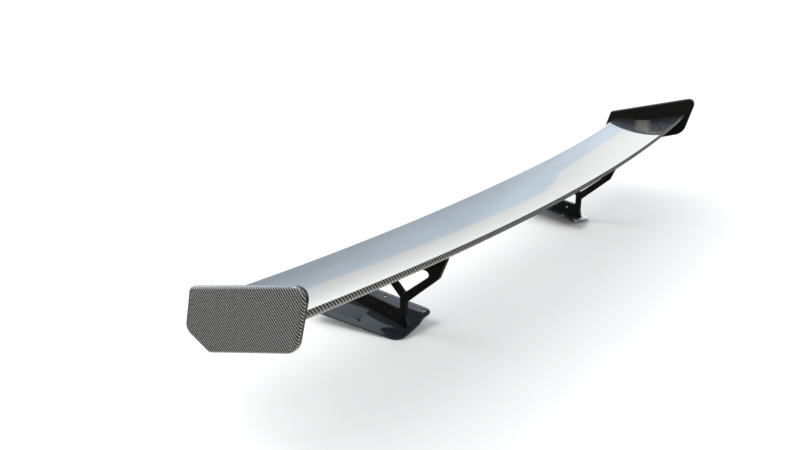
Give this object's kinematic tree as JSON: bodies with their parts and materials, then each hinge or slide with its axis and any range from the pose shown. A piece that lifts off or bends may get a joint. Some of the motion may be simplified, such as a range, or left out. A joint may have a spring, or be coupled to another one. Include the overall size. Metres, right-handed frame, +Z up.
{
  "type": "racing rear wing",
  "caption": "Wide carbon rear wing for a race car: bowed blade between endplates, on forked uprights with tilted base plates and a clamped angle adjustment.",
  "frame": {"origin": "middle of the bounding box, at the height of its lowest point, which is the lower outboard rear edge of the base plates", "axes": "+X across the car to its right, along the blade's span; +Y to the car's front; +Z up"},
  "size_m": [1.6, 0.3518, 0.2868],
  "materials": {
    "carbon": "clear-coated 2x2 twill carbon fibre laminate",
    "core": "uncoated laminate over foam, matt",
    "anodised": "black anodised, satin",
    "steel": "black oxide",
    "zinc": "zinc plated"
  },
  "bodies": {
    "mount": {"upright_left": "anodised", "upright_right": "anodised", "base_plate_left": "carbon", "base_plate_right": "carbon", "foot_screw_1_left": "steel", "foot_screw_2_left": "steel", "foot_screw_3_left": "steel", "pivot_bolt_left": "steel", "pivot_nut_left": "steel", "pivot_washer_outer_left": "steel", "pivot_washer_inner_left": "steel", "clamp_bolt_left": "steel", "clamp_nut_left": "steel", "clamp_washer_outer_left": "steel", "clamp_washer_inner_left": "steel", "foot_screw_1_right": "steel", "foot_screw_2_right": "steel", "foot_screw_3_right": "steel", "pivot_bolt_right": "steel", "pivot_nut_right": "steel", "pivot_washer_outer_right": "steel", "pivot_washer_inner_right": "steel", "clamp_bolt_right": "steel", "clamp_nut_right": "steel", "clamp_washer_outer_right": "steel", "clamp_washer_inner_right": "steel"},
    "wing": {"blade_upper_skin": "carbon", "blade_lower_skin": "carbon", "endplate_left": "carbon", "endplate_right": "carbon", "front_spar": "core", "rear_spar": "core", "tip_rib_left": "core", "tip_rib_right": "core", "hardpoint_left": "core", "hardpoint_right": "core", "wing_bracket_left": "anodised", "wing_bracket_right": "anodised", "bracket_screw_front_left": "steel", "bracket_screw_rear_left": "steel", "bracket_screw_front_right": "steel", "bracket_screw_rear_right": "steel", "endplate_pin_front_left": "zinc", "insert_front_left": "zinc", "endplate_pin_rear_left": "zinc", "insert_rear_left": "zinc", "endplate_pin_front_right": "zinc", "insert_front_right": "zinc", "endplate_pin_rear_right": "zinc", "insert_rear_right": "zinc"}
  },
  "joints": [
    {"name": "incidence", "type": "hinge", "parent": "mount", "child": "wing", "pos_m": [0, 0.00542, 0.15638], "axis": [-1, 0, 0], "range_deg": [-3, 7]}
  ]
}
